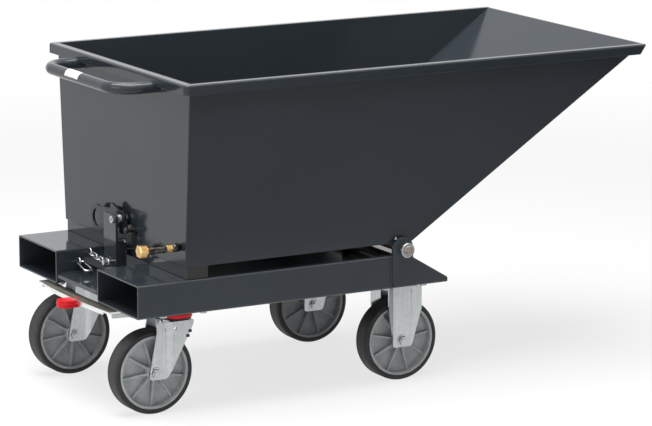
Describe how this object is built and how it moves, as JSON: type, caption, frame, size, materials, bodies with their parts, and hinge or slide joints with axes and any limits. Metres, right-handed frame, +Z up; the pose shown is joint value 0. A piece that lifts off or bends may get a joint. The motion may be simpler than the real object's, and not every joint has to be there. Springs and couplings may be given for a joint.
{
  "type": "tipping hopper",
  "caption": "Wheeled tipping hopper: open sheet-metal trough with a sloped pouring chute, pivoting on an undercarriage with fork pockets, castors, latch and drain valve.",
  "frame": {"origin": "on the ground under the middle of the overall box", "axes": "+X towards the pouring lip, +Y to the left side, +Z up"},
  "size_m": [1.421, 0.745, 0.7962],
  "materials": {
    "frame_paint": "semi-gloss dark grey powder coat",
    "trough_paint": "semi-gloss dark grey powder coat on sheet",
    "zinc": "bright zinc plating",
    "bare_steel": "bare steel with a film of rust",
    "black_steel": "blackened steel",
    "tyre_rubber": "solid black rubber",
    "hub_plastic": "moulded grey plastic",
    "red_plastic": "moulded red plastic",
    "valve_metal": "nickel-plated brass",
    "brass": "machined brass",
    "black_plastic": "moulded black plastic"
  },
  "bodies": {
    "undercarriage": {"fork_pocket_left": "frame_paint", "fork_pocket_right": "frame_paint", "rear_cross_channel": "frame_paint", "front_cross_channel": "frame_paint", "pivot_ear_left": "frame_paint", "pivot_ear_right": "frame_paint", "pivot_shaft": "bare_steel", "shaft_collars": "zinc", "castor_pads": "frame_paint", "front_castor_bolts": "zinc", "rear_castor_bolts": "zinc", "brake_lugs": "frame_paint", "safety_chain": "zinc", "chain_anchors": "zinc", "latch_post": "frame_paint", "latch_bolt": "zinc", "latch_spring": "zinc", "fixed_fork_left": "zinc", "fixed_fork_right": "zinc", "swivel_plate_left": "zinc", "swivel_plate_right": "zinc", "front_axle_left": "zinc", "front_axle_right": "zinc"},
    "trough": {"trough_rear_wall": "trough_paint", "trough_floor": "trough_paint", "trough_chute": "trough_paint", "trough_side_left": "trough_paint", "trough_side_right": "trough_paint", "trough_rim_left": "trough_paint", "trough_rim_right": "trough_paint", "trough_rim_rear": "trough_paint", "push_handle": "trough_paint", "rest_beam": "frame_paint", "rest_beam_caps": "black_plastic", "hinge_lugs": "frame_paint", "catch_pin": "black_steel", "drain_valve": "valve_metal", "drain_lock_nut": "brass"},
    "latch_arm": {"latch_lever": "frame_paint"},
    "brake_treadle": {"brake_bar": "zinc", "brake_arms": "zinc", "brake_pad": "red_plastic"},
    "swivel_left": {"swivel_fork_left": "zinc", "dust_ring_left": "red_plastic", "race_seal_left": "black_plastic", "rear_axle_left": "zinc"},
    "swivel_right": {"swivel_fork_right": "zinc", "dust_ring_right": "red_plastic", "race_seal_right": "black_plastic", "rear_axle_right": "zinc"},
    "front_wheel_left": {"front_hub_left": "hub_plastic", "front_tyre_left": "tyre_rubber"},
    "front_wheel_right": {"front_hub_right": "hub_plastic", "front_tyre_right": "tyre_rubber"},
    "rear_wheel_left": {"rear_hub_left": "hub_plastic", "rear_tyre_left": "tyre_rubber"},
    "rear_wheel_right": {"rear_hub_right": "hub_plastic", "rear_tyre_right": "tyre_rubber"},
    "drain_tee": {"drain_handle": "black_plastic"},
    "drain_plug": {"drain_cap": "brass"}
  },
  "joints": [
    {"name": "trough_tip", "type": "hinge", "parent": "undercarriage", "child": "trough", "pos_m": [0.0425, 0, 0.3485], "axis": [0, 1, 0], "range_deg": [0, 59]},
    {"name": "latch_swing", "type": "hinge", "parent": "undercarriage", "child": "latch_arm", "pos_m": [-0.5505, -0.027, 0.427], "axis": [1, 0, 0], "range_deg": [-18, 10]},
    {"name": "brake_press", "type": "hinge", "parent": "undercarriage", "child": "brake_treadle", "pos_m": [-0.6075, 0, 0.236], "axis": [0, 1, 0], "range_deg": [-10, 0], "stiffness_Nm_per_rad": 6, "springref_deg": 14.32},
    {"name": "swivel_left_turn", "type": "hinge", "parent": "undercarriage", "child": "swivel_left", "pos_m": [-0.5085, 0.2215, 0.2], "axis": [0, 0, 1], "continuous": true},
    {"name": "swivel_right_turn", "type": "hinge", "parent": "undercarriage", "child": "swivel_right", "pos_m": [-0.5085, -0.2215, 0.2], "axis": [0, 0, 1], "continuous": true},
    {"name": "front_left_roll", "type": "hinge", "parent": "undercarriage", "child": "front_wheel_left", "pos_m": [0.0915, 0.2215, 0.1], "axis": [0, 1, 0], "continuous": true},
    {"name": "front_right_roll", "type": "hinge", "parent": "undercarriage", "child": "front_wheel_right", "pos_m": [0.0915, -0.2215, 0.1], "axis": [0, 1, 0], "continuous": true},
    {"name": "rear_left_roll", "type": "hinge", "parent": "swivel_left", "child": "rear_wheel_left", "pos_m": [-0.5775, 0.2215, 0.1], "axis": [0, 1, 0], "continuous": true},
    {"name": "rear_right_roll", "type": "hinge", "parent": "swivel_right", "child": "rear_wheel_right", "pos_m": [-0.5775, -0.2215, 0.1], "axis": [0, 1, 0], "continuous": true},
    {"name": "drain_turn", "type": "hinge", "parent": "trough", "child": "drain_tee", "pos_m": [-0.5943, -0.299, 0.412], "axis": [0, 0, 1], "range_deg": [0, 90]},
    {"name": "cap_draw", "type": "slide", "parent": "trough", "child": "drain_plug", "axis": [-1, 0, 0], "range_m": [0, 0.03]}
  ]
}
